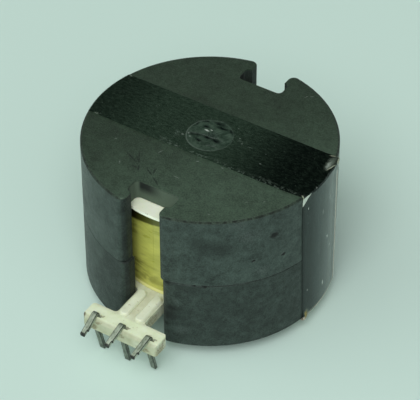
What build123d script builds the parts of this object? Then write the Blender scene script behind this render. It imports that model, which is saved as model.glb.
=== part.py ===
"""Pot-core high-frequency transformer, in millimetres, +Z up.

Two round ferrite halves close over a moulded bobbin and its windings. The bobbin reaches out
through a wire slot at the front (-Y) and at the rear (+Y), where a terminal board carries three
bent wire terminals. A clear adhesive film runs once round both halves and holds them together.
The origin is the centre of the seating plane: the underside of the film, which lies on the circuit
board while the terminals go through it.
"""
import os

from build123d import *

# Ferrite core
core_diameter = 30.0
core_half_height = 9.7
plate_thickness = 2.55
skirt_wall = 2.05
window_width = 6.2  # radial room between the skirt and the centre post
centre_hole_diameter = 5.6
core_rim_bevel = 0.12
mating_edge_break = 0.07
lower_half_turn = 1.2  # degrees that the lower half was glued out of line

# Wire slots of the core, T-shaped in plan: a mouth through the skirt and a cross slot behind it
slot_mouth_width = 4.5
slot_nose_thickness = 1.95
slot_nose_round = 0.8
cross_slot_length = 5.9
cross_slot_width = 2.2
cross_slot_round = 0.6

# Bobbin
post_clearance = 0.15
hub_wall = 0.75
skirt_clearance = 0.2
ceiling_clearance = 0.1
upper_flange_thickness = 0.4
lower_flange_thickness = 1.65
neck_width = 3.7
neck_corner_round = 0.45

# Terminal boards, in one piece with the bobbin
board_length = 10.1
board_width = 2.35
board_gap = 2.2  # from the core to the back of the board
board_corner_round = 0.4
board_front_round = 0.5
rib_spacing = 2.15
rib_width = 1.3
rib_height = 0.35
rib_bevel = 0.22
rib_overlap_on_board = 0.15

# Windings and their insulation
primary_share = 0.49  # of the wire room, which the two windings fill
interlayer_thickness = 0.2
outer_tape_thickness = 0.3
winding_margin = 0.5
tape_setback = 1.0  # from the edge of the flange to the tape
tape_flare = 0.18
tape_flare_height = 0.55

# Terminals, bent from flat wire
terminal_pitch = 3.65
terminal_width = 0.7
terminal_thickness = 0.45
terminal_setback = 0.8  # from the front of the board
bend_radius = 0.28
tail_height = 0.4  # middle of the tail above the board, where it turns outwards
tail_reach = 3.15
tail_drop = 1.05
tail_tip_step = 0.12
tail_tip_length = 0.8
foot_depth = 1.8
foot_inset = 0.85
hole_relief = 0.4
hole_relief_depth = 0.8

# Clear film round the core
film_thickness = 0.06
film_width = 8.2
film_offset = 0.2
film_overlap = 9.0

# Sizes that follow from the ones above
core_radius = core_diameter / 2
skirt_inner_radius = core_radius - skirt_wall
post_radius = skirt_inner_radius - window_width
core_bottom = film_thickness
core_height = 2 * core_half_height
core_top = core_bottom + core_height
cross_slot_centre = core_radius - slot_nose_thickness - cross_slot_width / 2

hub_inner_radius = post_radius + post_clearance
hub_outer_radius = hub_inner_radius + hub_wall
flange_radius = skirt_inner_radius - skirt_clearance
bobbin_bottom = core_bottom + plate_thickness
bobbin_top = core_top - plate_thickness - ceiling_clearance
board_top = bobbin_bottom + lower_flange_thickness
window_top = bobbin_top - upper_flange_thickness
window_height = window_top - board_top

outer_tape_radius = flange_radius - tape_setback
outer_tape_inner_radius = outer_tape_radius - outer_tape_thickness
wire_room = outer_tape_inner_radius - hub_outer_radius - interlayer_thickness
primary_build = primary_share * wire_room
secondary_build = wire_room - primary_build
interlayer_inner_radius = hub_outer_radius + primary_build
secondary_inner_radius = interlayer_inner_radius + interlayer_thickness

corner_reach = 0.01  # how far from its worked-out place a plan corner is looked for
board_back = core_radius + board_gap
board_centre = board_back + board_width / 2
board_reach = board_back + board_width
terminal_reach = board_reach - terminal_setback


def ring(inner_radius, outer_radius, bottom, height):
    """Plain tube round the core's axis."""
    return extrude(Pos(0, 0, bottom) * (Circle(outer_radius) - Circle(inner_radius)), height)


def both_ends(shape):
    """The shape at the front and its copy at the rear."""
    return shape + Rot(0, 0, 180) * shape


def rims_beyond(shape, radius):
    """Circular edges of a turned shape that are larger than the given radius."""
    return [edge for edge in shape.edges().filter_by(GeomType.CIRCLE) if edge.radius > radius]


def corners_near(sketch, x, y):
    """Corners of a sketch that lie at (+-x, +-y), to within a small reach."""
    return [
        corner
        for corner in sketch.vertices()
        if abs(abs(corner.X) - x) < corner_reach and abs(abs(corner.Y) - y) < corner_reach
    ]


def core_plan():
    """Plan of the core with both wire slots, noses rounded, and no centre hole."""
    mouth_length = core_radius - cross_slot_centre
    mouth = Pos(0, -cross_slot_centre - mouth_length) * Rectangle(slot_mouth_width, 2 * mouth_length)
    cross_slot = Pos(0, -cross_slot_centre) * RectangleRounded(
        cross_slot_length, cross_slot_width, cross_slot_round
    )
    plan = Circle(core_radius) - both_ends(mouth + cross_slot)
    half_mouth = slot_mouth_width / 2
    nose_outer = (core_radius**2 - half_mouth**2) ** 0.5
    return fillet(corners_near(plan, half_mouth, nose_outer), slot_nose_round)


def core_half():
    """One ferrite half, plate down and open side up, standing on z = 0."""
    half = extrude(core_plan(), core_half_height)
    half = chamfer(rims_beyond(half.faces().sort_by(Axis.Z)[0], post_radius), core_rim_bevel)
    half = chamfer(rims_beyond(half.faces().sort_by(Axis.Z)[-1], post_radius), mating_edge_break)
    winding_space = ring(post_radius, skirt_inner_radius, plate_thickness, core_half_height)
    centre_hole = extrude(Circle(centre_hole_diameter / 2), core_half_height)
    return half - winding_space - centre_hole


def lower_core_half():
    return Pos(0, 0, core_bottom) * Rot(0, 0, lower_half_turn) * core_half()


def upper_core_half():
    return Pos(0, 0, core_top) * Rot(180, 0, 0) * core_half()


def board():
    """Front terminal board: a bar with a rounded front top edge and rounded corners in plan."""
    bar = Pos(0, -board_centre, bobbin_bottom + lower_flange_thickness / 2) * Box(
        board_length, board_width, lower_flange_thickness
    )
    front_top = bar.edges().filter_by(Axis.X).group_by(Axis.Z)[-1].sort_by(Axis.Y)[0]
    bar = fillet(front_top, board_front_round)
    plan = Pos(0, -board_centre) * RectangleRounded(board_length, board_width, board_corner_round)
    return bar & extrude(Pos(0, 0, bobbin_bottom) * plan, lower_flange_thickness)


def bobbin_base():
    """Lower flange, necks and terminal boards: one flat plate, its inner corners filled."""
    neck = Pos(0, -board_back / 2) * Rectangle(neck_width, board_back)
    strip_width = board_width - board_front_round
    strip = Pos(0, -board_back - strip_width / 2) * Rectangle(
        board_length - 2 * board_corner_round, strip_width
    )
    plan = Circle(flange_radius) + both_ends(neck + strip)
    half_neck = neck_width / 2
    neck_root = (flange_radius**2 - half_neck**2) ** 0.5
    plan = fillet(corners_near(plan, half_neck, neck_root), neck_corner_round)
    plan = fillet(corners_near(plan, half_neck, board_back), neck_corner_round)
    plate = extrude(Pos(0, 0, bobbin_bottom) * plan, lower_flange_thickness)
    return plate + both_ends(board())


def neck_ribs():
    """Two raised ribs on the front neck, which guide the wires to the terminals."""
    start = outer_tape_radius + tape_flare + rib_width / 2
    end = board_back + rib_overlap_on_board
    plan = Pos(0, -(start + end) / 2) * Rot(0, 0, 90) * SlotOverall(end - start, rib_width)
    rib = extrude(Pos(0, 0, board_top) * plan, rib_height)
    rib = chamfer(rib.faces().sort_by(Axis.Z)[-1].edges(), rib_bevel)
    return [Pos(side * rib_spacing / 2, 0, 0) * rib for side in (-1, 1)]


def terminal_holes():
    """Rectangular holes of the front board, each with a shallow relief beside the wire."""
    hole = Pos(0, -terminal_reach, bobbin_bottom) * Box(
        terminal_width,
        terminal_thickness,
        lower_flange_thickness,
        align=(Align.CENTER, Align.CENTER, Align.MIN),
    )
    relief = Pos(terminal_width / 2, -terminal_reach, board_top) * Box(
        hole_relief,
        terminal_thickness,
        hole_relief_depth,
        align=(Align.MIN, Align.CENTER, Align.MAX),
    )
    return [Pos(step * terminal_pitch, 0, 0) * (hole + relief) for step in (-1, 0, 1)]


def bobbin():
    body = bobbin_base()
    hub = ring(hub_inner_radius, hub_outer_radius, bobbin_bottom, bobbin_top - bobbin_bottom)
    upper_flange = ring(hub_inner_radius, flange_radius, window_top, upper_flange_thickness)
    body = body + hub + upper_flange
    for rib in neck_ribs():
        body = body + both_ends(rib)
    for hole in terminal_holes():
        body = body - both_ends(hole)
    return body - extrude(Pos(0, 0, bobbin_bottom) * Circle(hub_inner_radius), lower_flange_thickness)


def winding(inner_radius, build):
    """Wound coil as one ring, which stops short of both flanges."""
    bottom = board_top + winding_margin
    return ring(inner_radius, inner_radius + build, bottom, window_height - 2 * winding_margin)


def outer_tape():
    """Yellow tape over the windings, its lower edge flared where it rides on the flange."""
    profile = Polyline(
        (outer_tape_inner_radius, board_top),
        (outer_tape_radius + tape_flare, board_top),
        (outer_tape_radius, board_top + tape_flare_height),
        (outer_tape_radius, window_top),
        (outer_tape_inner_radius, window_top),
        close=True,
    )
    return revolve(make_face(Plane.XZ * profile), Axis.Z)


def terminal():
    """Front middle terminal: a leg down through the board and a tail bent outwards above it."""
    tail_middle = board_top + tail_height
    path = FilletPolyline(
        (terminal_reach + tail_reach, tail_middle - tail_drop),
        (terminal_reach, tail_middle),
        (terminal_reach, bobbin_bottom - bend_radius),
        (terminal_reach - foot_inset, -foot_depth),
        radius=bend_radius,
    )
    side_view = Plane.YZ * trace(path, terminal_thickness)
    wire = extrude(side_view, terminal_width / 2, both=True)
    wire = Rot(0, 0, 180) * wire
    cut_reach = terminal_reach + tail_reach
    tip_cut = Pos(terminal_width / 2 - tail_tip_step, -cut_reach - terminal_thickness, 0) * Box(
        terminal_width,
        tail_tip_length + terminal_thickness,
        board_top + tail_height,
        align=(Align.MIN, Align.MIN, Align.MIN),
    )
    return wire - tip_cut


def terminals():
    """Terminals 1 to 3 at the front, left to right, and 4 to 6 on round the rear."""
    front = [Pos(step * terminal_pitch, 0, 0) * terminal() for step in (-1, 0, 1)]
    rear = [Rot(0, 0, 180) * wire for wire in front]
    return front + rear


def core_envelope(growth):
    """The closed core without its slots, grown all round by some film layers."""
    body = Pos(0, 0, core_bottom - growth) * Cylinder(
        core_radius + growth,
        core_height + 2 * growth,
        align=(Align.CENTER, Align.CENTER, Align.MIN),
    )
    return chamfer(rims_beyond(body, post_radius), core_rim_bevel + growth * (2 - 2**0.5))


def film_band():
    """One turn of film round both halves, with its overlap on the left side."""
    strip = Pos(0, film_offset, core_top / 2) * Box(2 * core_diameter, film_width, 2 * core_height)
    lap = Pos(-core_radius, film_offset, core_top / 2) * Box(core_radius, film_width, film_overlap)
    first_turn = (core_envelope(film_thickness) - core_envelope(0)) & strip
    second_turn = (core_envelope(2 * film_thickness) - core_envelope(film_thickness)) & lap
    return first_turn + second_turn


def write(name, shape):
    export_step(shape, f"parts/{name}.step")


os.makedirs("parts", exist_ok=True)
write("lower_core_half", lower_core_half())
write("upper_core_half", upper_core_half())
write("bobbin", bobbin())
write("primary_winding", winding(hub_outer_radius, primary_build))
write("interlayer_tape", ring(interlayer_inner_radius, secondary_inner_radius, board_top, window_height))
write("secondary_winding", winding(secondary_inner_radius, secondary_build))
write("outer_tape", outer_tape())
write("core_film", film_band())
for number, wire in enumerate(terminals(), start=1):
    write(f"terminal_{number}", wire)
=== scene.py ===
# %% [markdown]
# # A pot-core transformer
# The real part is two black ferrite halves closed over a wound bobbin. The bobbin reaches out through
# a slot on each side and carries bent tinned terminals, and one turn of clear film holds it together.
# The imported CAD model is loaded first, as a fixed frame that the pieces made here have to fit.
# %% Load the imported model
import math
import random
from functools import reduce

import bmesh
import bpy
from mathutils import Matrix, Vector


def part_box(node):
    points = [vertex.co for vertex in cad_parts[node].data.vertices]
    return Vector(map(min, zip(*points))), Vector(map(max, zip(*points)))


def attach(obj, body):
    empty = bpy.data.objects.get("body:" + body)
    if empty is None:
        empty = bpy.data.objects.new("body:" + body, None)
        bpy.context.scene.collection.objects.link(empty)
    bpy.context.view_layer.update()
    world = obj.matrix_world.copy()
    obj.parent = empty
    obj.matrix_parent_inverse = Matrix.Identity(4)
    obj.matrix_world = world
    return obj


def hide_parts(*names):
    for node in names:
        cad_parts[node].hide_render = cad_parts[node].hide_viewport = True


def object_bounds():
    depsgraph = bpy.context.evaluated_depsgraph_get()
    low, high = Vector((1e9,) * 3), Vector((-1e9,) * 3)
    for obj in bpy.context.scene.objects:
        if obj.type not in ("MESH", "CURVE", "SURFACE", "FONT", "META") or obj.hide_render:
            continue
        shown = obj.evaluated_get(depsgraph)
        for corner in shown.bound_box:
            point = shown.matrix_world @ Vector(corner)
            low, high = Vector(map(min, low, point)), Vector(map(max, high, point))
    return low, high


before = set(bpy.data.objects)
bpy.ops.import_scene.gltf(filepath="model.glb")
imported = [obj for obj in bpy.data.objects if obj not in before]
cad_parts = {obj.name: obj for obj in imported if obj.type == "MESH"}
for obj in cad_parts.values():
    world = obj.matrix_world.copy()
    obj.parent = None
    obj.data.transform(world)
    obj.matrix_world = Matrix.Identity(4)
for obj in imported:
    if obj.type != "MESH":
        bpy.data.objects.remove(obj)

cad_low, cad_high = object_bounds()
print("CAD box in mm:", [round(1000 * x, 2) for x in (*cad_low, *cad_high)])

# %% [markdown]
# ## Sizes
# Blender works in metres, and this part is three centimetres across, so its sizes are written in
# millimetres and multiplied by `mm`. The main ones come from the boxes of the CAD pieces. The core's
# axis is the Z axis, and its closed joint is half way up.
# %% Sizes read from the frame
mm = 0.001
joint_low, core_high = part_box("upper_core_half")
film_low, film_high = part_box("core_film")
tape_low, tape_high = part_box("outer_tape")
core_radius = core_high.x
film_gap = film_high.z - core_high.z
core_middle = joint_low.z
print("core radius", round(core_radius / mm, 2), "film", round(film_gap / mm, 3), "mm")

# %% [markdown]
# ## Helpers for modelling
# Each piece starts from a primitive and is worked on in edit mode, as by hand. Nothing is picked with
# the mouse, so these helpers pick by place: `select_where` tests each vertex, edge or face, `cut` is
# the Bisect tool, and `pull` is a move with proportional editing.
# %% Modelling helpers
def start(name, kind, **wants):
    """Adds a primitive with nothing else selected, puts its origin at the world's, and opens it."""
    bpy.ops.object.select_all(action="DESELECT")
    getattr(bpy.ops.mesh, f"primitive_{kind}_add")(**wants)
    piece = bpy.context.object
    piece.name = name
    bpy.ops.object.transform_apply(location=True, rotation=True, scale=True)
    bpy.ops.object.mode_set(mode="EDIT")
    return piece


def start_tube(name, sides, radius, low, high, ends="NOTHING"):
    """An upright cylinder on the core's axis, from one height to another."""
    wants = {"vertices": sides, "radius": radius, "depth": high - low, "end_fill_type": ends}
    return start(name, "cylinder", location=(0, 0, (low + high) / 2), **wants)


def select_where(kind, wanted):
    """Selects the vertices, edges or faces that pass the test, and says how many there are."""
    bpy.ops.mesh.select_mode(type=kind)
    bpy.ops.mesh.select_all(action="DESELECT")
    mesh = bmesh.from_edit_mesh(bpy.context.object.data)
    parts = {"VERT": mesh.verts, "EDGE": mesh.edges, "FACE": mesh.faces}[kind]
    found = [part for part in parts if wanted(part)]
    for part in found:
        part.select_set(True)
    bmesh.update_edit_mesh(bpy.context.object.data)
    return len(found)


def cut(place, direction, **clear):
    """Cuts the whole mesh along a plane, and can clear what lies on one side of it."""
    bpy.ops.mesh.select_all(action="SELECT")
    bpy.ops.mesh.bisect(plane_co=place, plane_no=direction, threshold=1e-7, **clear)


def soft_move(move, reach):
    """Moves what is selected, and less and less of what lies round it."""
    bpy.ops.transform.translate(
        value=move, use_proportional_edit=True, proportional_edit_falloff="SMOOTH", proportional_size=reach
    )


def pull(place, move, reach):
    """Moves the vertex nearest to a place softly."""
    mesh = bmesh.from_edit_mesh(bpy.context.object.data)
    nearest = min((vert.co - Vector(place)).length for vert in mesh.verts) + 1e-7
    select_where("VERT", lambda vert: (vert.co - Vector(place)).length < nearest)
    soft_move(move, reach)


def close_up(piece, angle=35):
    """Leaves edit mode with the normals outward and smooth shading, but for the sharp edges."""
    bpy.ops.mesh.select_all(action="SELECT")
    bpy.ops.mesh.normals_make_consistent(inside=False)
    bpy.ops.object.mode_set(mode="OBJECT")
    bpy.ops.object.shade_smooth_by_angle(angle=math.radians(angle))
    print(piece.name, "has", len(piece.data.polygons), "faces")


def give_wall(piece, thickness):
    """Turns a skin into a wall with the Solidify modifier, inward from the skin, and applies it."""
    wall = piece.modifiers.new("Wall", "SOLIDIFY")
    wall.thickness = thickness
    wall.offset = -1
    bpy.ops.object.modifier_apply(modifier=wall.name)


# %% [markdown]
# ## Clear film
# The film is one turn of thin adhesive tape round both halves, over the top, down the sides and under
# the seat. It starts as the skin of a cylinder that just clears the core: the rims are rounded, then
# two cuts leave the band, and further cuts make a grid fine enough to bend.
# %% Film band
film_radius = core_radius + film_gap
film_shift = 0.13 * mm  # the real band sits this much nearer the rear
front_edge = film_low.y + film_shift
rear_edge = film_high.y + film_shift
rows_across = 20
film = start_tube("clear_film", 240, film_radius, film_low.z, film_high.z, "NGON")
select_where("EDGE", lambda edge: abs(edge.verts[0].co.z - edge.verts[1].co.z) < 1e-6)
bpy.ops.mesh.bevel(offset=0.25 * mm, segments=4, affect="EDGES")
cut((0, rear_edge, 0), (0, 1, 0), clear_outer=True)
cut((0, front_edge, 0), (0, 1, 0), clear_inner=True)
for step in range(-29, 30):
    cut((step * 0.5 * mm, 0, 0), (1, 0, 0))
for step in range(1, rows_across):
    cut((0, front_edge + step * (rear_edge - front_edge) / rows_across, 0), (0, 1, 0))
for step in range(1, 39):
    cut((0, 0, step * 0.5 * mm), (0, 0, 1))
print("the film's band is", round((rear_edge - front_edge) / mm, 2), "mm wide")

# %% [markdown]
# Over the centre hole the film is loose and creased, so the grid there needs half the spacing. Only
# those faces are cut again: the Bisect tool works on what is selected.
# %% Finer film over the centre hole
hole_reach = 3.25 * mm


def is_over_hole(face):
    middle = face.calc_center_median()
    return middle.z > core_high.z and max(abs(middle.x), abs(middle.y)) < hole_reach


for direction in ((1, 0, 0), (0, 1, 0)):
    for step in range(-13, 13):
        select_where("FACE", is_over_hole)
        place = [(step + 0.5) * 0.25 * mm * part for part in direction]
        bpy.ops.mesh.bisect(plane_co=place, plane_no=direction, threshold=1e-7)
print("the film now has", len(bmesh.from_edit_mesh(film.data).faces), "faces")

# %% [markdown]
# The film was put on slightly askew. Its right side is turned about the Z axis, less and less towards
# the top, since a plain move would push it into the round core. Its rear edge there also stands off
# the core a little.
# %% The film put on askew
askew = 0.78 * mm
edge_slope = 0.0407  # how far its side edges lean for each millimetre of height
select_where("VERT", lambda vert: vert.co.z < 0.3 * mm and vert.co.x > 14 * mm)
softly = {"use_proportional_edit": True, "proportional_edit_falloff": "LINEAR", "proportional_size": 19 * mm}
bpy.ops.transform.rotate(value=-askew / film_radius, orient_axis="Z", center_override=(0, 0, 0), **softly)
rear_line = rear_edge + askew - 0.1 * mm
select_where("VERT", lambda vert: vert.co.x > 0 and vert.co.y > rear_line - edge_slope * vert.co.z)
soft_move((0.1 * mm, 0.04 * mm, 0), 1.5 * mm)
print("the film's foot is", round(askew / mm, 2), "mm askew")

# %% [markdown]
# Small pulls with proportional editing lift the corners, make the edges uneven and let the film sag
# into the hole. Each row below has the move, the place and the reach, in millimetres.
# %% Lifted corners and the sag
film_pulls = [
    ((0.03, 0.12, 0), (14.6, -3.8, 19), 4),
    ((0, 0.1, 0), (-14, -3.8, 19.5), 7),
    ((0.2, 0, 0.1), (14.35, 4.4, 19.3), 1.6),
    ((0.2, 0, 0.14), (14.5, 3.2, 19.4), 1.3),
    ((0.1, 0, -0.1), (14.75, 3.9, 18.7), 0.8),
    ((0.12, -0.04, 0.16), (14.4, -3.6, 19.4), 0.9),
    ((0.06, 0, 0.08), (14.8, -2.6, 19.45), 0.5),
    ((-0.03, 0, -0.06), (15, -1.2, 19.45), 0.5),
    ((0.05, 0, 0.07), (15, 0.4, 19.45), 0.5),
    ((-0.03, 0, -0.05), (15, 1.7, 19.45), 0.4),
    ((0.28, -0.16, -0.14), (14.8, -2.8, 0.1), 0.8),
    ((0, 0, -0.16), (0.2, 0.1, 19.52), 2.7),
    ((0, 0, 0.07), (-0.9, 0.6, 19.52), 0.6),
    ((0.02, 0, 0.1), (-12.6, 0.6, 19.5), 1.6),
    ((0, 0, 0.07), (-9.1, 2.9, 19.5), 1),
    ((0, 0, 0.06), (8.4, -1.6, 19.5), 0.9),
    ((0, 0, 0.08), (11.6, 2, 19.5), 1.3),
]
for move, place, reach in film_pulls:
    pull([value * mm for value in place], [value * mm for value in move], reach * mm)
print("pulled the film at", len(film_pulls), "places")

# %% [markdown]
# A crease is a narrow fold, so it is made as a row of small pulls along a line.
# %% Creases of the film
def crease(points, lift, reach):
    """Raises a narrow fold along a line of points on the film's top, in millimetres."""
    for first, second in zip(points, points[1:]):
        steps = max(2, int(math.dist(first, second) / 0.2))
        for step in range(steps):
            share = step / steps
            x, y = (first[axis] + (second[axis] - first[axis]) * share for axis in (0, 1))
            pull((x * mm, y * mm, film_high.z), (0, 0, lift * mm), reach * mm)
    print("a crease through", len(points), "points")


crease([(-2.5, -1.2), (-0.7, -0.35), (1.16, -0.22), (2.1, -0.4)], 0.035, 0.5)
crease([(-2.5, 1.1), (-1.8, 1.8), (-1.1, 1.2)], 0.035, 0.45)
crease([(-0.4, 2.5), (0.6, 2.8), (1.3, 2.4)], 0.03, 0.4)
crease([(0.6, -1.9), (1.7, -1.6), (2.4, -1.9)], 0.03, 0.4)

# %% [markdown]
# So far the film is a skin without thickness. It gets one inward from there, so its outside stays
# where it was drawn.
# %% Thickness of the film
def finish_film(piece):
    """Thickens a layer of film, and says which body it belongs to."""
    close_up(piece)
    give_wall(piece, 0.04 * mm)
    bpy.ops.object.shade_smooth_by_angle(angle=math.radians(50))
    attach(piece, "root")


finish_film(film)
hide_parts("core_film")

# %% [markdown]
# The turn ends where it began, on the left side, and there a second layer lies over the first. It is
# the same skin again, a little larger, cut to the overlap and pulled flat at its ends.
# %% Overlap of the film
lap_half = 4.5 * mm
film_middle = (film_low.z + film_high.z) / 2
lap_ends = (film_middle - lap_half, film_middle + lap_half)
lap = start_tube("clear_film_overlap", 240, film_radius + film_gap, *lap_ends)
cut((0, rear_edge + 0.1 * mm, 0), (0, 1, 0), clear_outer=True)
cut((0, front_edge + 0.3 * mm, 0), (0, 1, 0), clear_inner=True)
cut((0, 0, 0), (1, 0, 0), clear_outer=True)
for step in range(-8, 9):
    cut((0, 0, core_middle + step * 0.5 * mm), (0, 0, 1))
pull((-15.1 * mm, 0, core_middle + lap_half), (0.03 * mm, 0, 0), 1.2 * mm)
pull((-15.0 * mm, 4.0 * mm, core_middle - lap_half), (-0.06 * mm, 0, 0.2 * mm), 1.5 * mm)
finish_film(lap)

# %% [markdown]
# ## Outer tape
# Yellow polyester tape covers the windings and shows in both wire slots. It is wound tight in the
# middle, but its lower edge rides up on the flange and flares out, and the last turns are wrinkled.
# A tube is cut into rings first, so that there is something to scale and to pull.
# %% Outer tape
tape_radius = tape_high.x - 0.18 * mm
outer_tape = start_tube("wound_tape", 288, tape_radius, tape_low.z, tape_high.z)
edge_rings = (0.1, 0.2, 0.3, 0.42, 0.55)
upper_rings = (0.8, 1.1, 1.4, 1.7, 2.0, 2.4, 2.9, 3.5, 4.2, 5.0, 6, 7, 8, 9, 10, 10.8, 11.5)
for height in edge_rings + upper_rings:
    cut((0, 0, tape_low.z + height * mm), (0, 0, 1))
print("the tape is cut at", len(edge_rings + upper_rings), "heights")

# %% [markdown]
# The flare is widest at the very edge and is gone half a millimetre above it. Each ring of vertices
# gets its own share of it, scaled about the axis.
# %% Flared lower edge
flare = tape_high.x / tape_radius - 1
for height, part in ((0, 0.98), (0.1, 0.9), (0.2, 0.72), (0.3, 0.45), (0.42, 0.18)):
    level = tape_low.z + height * mm
    share = 1 + part * flare
    select_where("VERT", lambda vert: abs(vert.co.z - level) < 1e-6)
    bpy.ops.transform.resize(value=(share, share, 1), center_override=(0, 0, level))
print("the tape's edge flares by", round((tape_high.x - tape_radius) / mm, 2), "mm")

# %% [markdown]
# The wrinkles only show through the slots, at the front and the rear, so the pulls are kept to those
# two sides. Their places are random, with a fixed seed, which gives the same tape each time.
# %% Wrinkles
wrinkle_count = 34
random.seed(11)
for _ in range(wrinkle_count):
    side = random.choice((-90, 90))
    angle = math.radians(side + random.uniform(-15, 15))
    height = random.choice((random.uniform(0.8, 3.2), random.uniform(0.8, 11.0)))
    lift = random.uniform(-0.05, 0.035)
    place = (tape_radius * math.cos(angle), tape_radius * math.sin(angle), tape_low.z + height * mm)
    pull(place, (lift * mm * math.cos(angle), lift * mm * math.sin(angle), 0), random.uniform(0.5, 1.4) * mm)
print("the tape has", wrinkle_count, "wrinkles")

# %% [markdown]
# The tape ends near the middle of the front slot. From there to the right and round to the rear its
# last layer is missing, so those faces are moved inward by half a layer, which is enough to show.
# %% Loose end of the tape
def is_past_tape_end(face):
    """Whether a face lies where the last layer is missing."""
    middle = face.calc_center_median()
    angle = math.degrees(math.atan2(middle.x, -middle.y))
    return -1.5 < angle < 150 and middle.z > tape_low.z + 0.5 * mm


select_where("FACE", is_past_tape_end)
bpy.ops.mesh.extrude_region_shrink_fatten(TRANSFORM_OT_shrink_fatten={"value": -0.03 * mm})
close_up(outer_tape, 25)
give_wall(outer_tape, 0.285 * mm)
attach(outer_tape, "root")
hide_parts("outer_tape")

# %% [markdown]
# ## Terminals
# Each terminal is flat tinned wire, bent with a hand tool: a foot that leans in, a leg up through the
# board and a tail bent out above it. It is made as the wire is: one cross section, pushed along with
# Extrude and turned with Spin at each bend. The last bit of the tail is narrower, where it was cut.
# %% One terminal
wire_low, wire_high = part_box("terminal_2")
wire_wide = wire_high.x - wire_low.x
wire_thick = 0.45 * mm
bend_radius = 0.28 * mm
narrow_tip = 0.8 * mm
foot_end = Vector((0, -17.9 * mm, -1.8 * mm))
foot_bend = Vector((0, -18.75 * mm, 2.33 * mm))
tail_bend = Vector((0, -18.75 * mm, 4.66 * mm))
tail_end = Vector((0, -21.9 * mm, 3.61 * mm))
foot_way = (foot_bend - foot_end).normalized()
leg_way = (tail_bend - foot_bend).normalized()
tail_way = (tail_end - tail_bend).normalized()
print("the wire is", round(wire_wide / mm, 2), "mm wide and", round(wire_thick / mm, 2), "mm thick")


def chosen_points():
    """Where the selected vertices are."""
    mesh = bmesh.from_edit_mesh(bpy.context.object.data)
    return [vert.co.copy() for vert in mesh.verts if vert.select]


def extrude_by(move):
    bpy.ops.mesh.extrude_region_move(TRANSFORM_OT_translate={"value": move})


def turn_wire(before, after):
    """Bends the wire from one direction to another, round a centre on the inside of the bend."""
    points = chosen_points()
    axis = before.cross(after).normalized()
    centre = sum(points, Vector()) / len(points) + axis.cross(before) * bend_radius
    bpy.ops.mesh.spin(steps=6, angle=-before.angle(after), center=centre, axis=axis)


# %% [markdown]
# Now the wire is pushed along its way. A bend of this radius starts a little before its corner, so
# the straight parts are shortened by that much. The edges are then bevelled: the bevel's own faces get
# the second material, which is a darker tarnish.
# %% Foot, leg and tail
first_turn = bend_radius * math.tan(foot_way.angle(leg_way) / 2)
second_turn = bend_radius * math.tan(leg_way.angle(tail_way) / 2)
wire = start("terminal_wire", "plane", size=1, location=(0, 0, 0))
bpy.ops.transform.resize(value=(wire_wide, wire_thick, 1))
bpy.ops.transform.translate(value=foot_end)
extrude_by(foot_way * ((foot_bend - foot_end).length - first_turn))
turn_wire(foot_way, leg_way)
extrude_by(leg_way * ((tail_bend - foot_bend).length - first_turn - second_turn))
turn_wire(leg_way, tail_way)
extrude_by(tail_way * ((tail_end - tail_bend).length - second_turn - narrow_tip))
extrude_by(tail_way * 0.02 * mm)
tip_middle = sum(chosen_points(), Vector()) / 4
bpy.ops.transform.resize(value=(0.84, 1, 1), center_override=tip_middle - Vector((wire_wide / 2, 0, 0)))
extrude_by(tail_way * (narrow_tip - 0.02 * mm))
bpy.ops.mesh.select_all(action="SELECT")
bpy.ops.mesh.remove_doubles(threshold=1e-7)
bpy.ops.mesh.normals_make_consistent(inside=False)


def is_corner(edge):
    return edge.is_manifold and edge.calc_face_angle() > math.radians(60)


long_edges = select_where("EDGE", is_corner)
for _ in range(2):
    wire.data.materials.append(None)
bpy.ops.mesh.bevel(offset=0.075 * mm, segments=2, affect="EDGES", material=1)
print("bevelled", long_edges, "edges of the wire")
close_up(wire)

# %% [markdown]
# All six are copies of this one. They were bent by hand, so each leans a little its own way: its ends
# are pulled aside, which leaves its leg in its hole. The rear row is turned half way round the core.
# %% All six terminals
leans = {  # where the tail's tip goes, then where the foot's end goes, in millimetres
    "terminal_1": ((0.24, 0, 0.02), (0.1, 0.1, 0)),
    "terminal_2": ((-0.1, 0.02, -0.03), (0.05, 0, 0.05)),
    "terminal_3": ((-0.26, 0.05, -0.02), (-0.12, 0.22, 0.35)),
    "terminal_4": ((0.12, 0, 0.04), (0, 0.05, 0)),
    "terminal_5": ((-0.14, 0.03, 0), (-0.08, 0, 0.05)),
    "terminal_6": ((0.05, 0, -0.05), (0.1, 0.08, 0)),
}
for node_name, (tip_move, foot_move) in leans.items():
    bpy.ops.object.select_all(action="DESELECT")
    wire.select_set(True)
    bpy.context.view_layer.objects.active = wire
    bpy.ops.object.duplicate()
    copy = bpy.context.object
    copy.name = node_name.replace("terminal", "wire")
    bpy.ops.object.mode_set(mode="EDIT")
    pull(tail_end, [value * mm for value in tip_move], 3.2 * mm)
    pull(foot_end, [value * mm for value in foot_move], 4.0 * mm)
    low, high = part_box(node_name)
    bpy.ops.mesh.select_all(action="SELECT")
    if low.y > 0:
        bpy.ops.transform.rotate(value=math.pi, orient_axis="Z", center_override=(0, 0, 0))
    bpy.ops.transform.translate(value=((low.x + high.x) / 2, 0, 0))
    close_up(copy)
    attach(copy, "root")
    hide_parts(node_name)
bpy.data.objects.remove(wire)

# %% [markdown]
# ## Helpers for materials
# A finish is a small network of nodes. Building it by mouse is slow to repeat, so these helpers add
# one node each, wire it to what feeds it, and give back its output, which can feed the next one.
# %% Node helpers
def comes_from_node(value):
    return isinstance(value, bpy.types.NodeSocket)


def give(socket, value):
    """Links a value that comes from a node, and writes any other value into the socket."""
    if comes_from_node(value):
        socket.id_data.links.new(value, socket)
    else:
        socket.default_value = value


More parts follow.
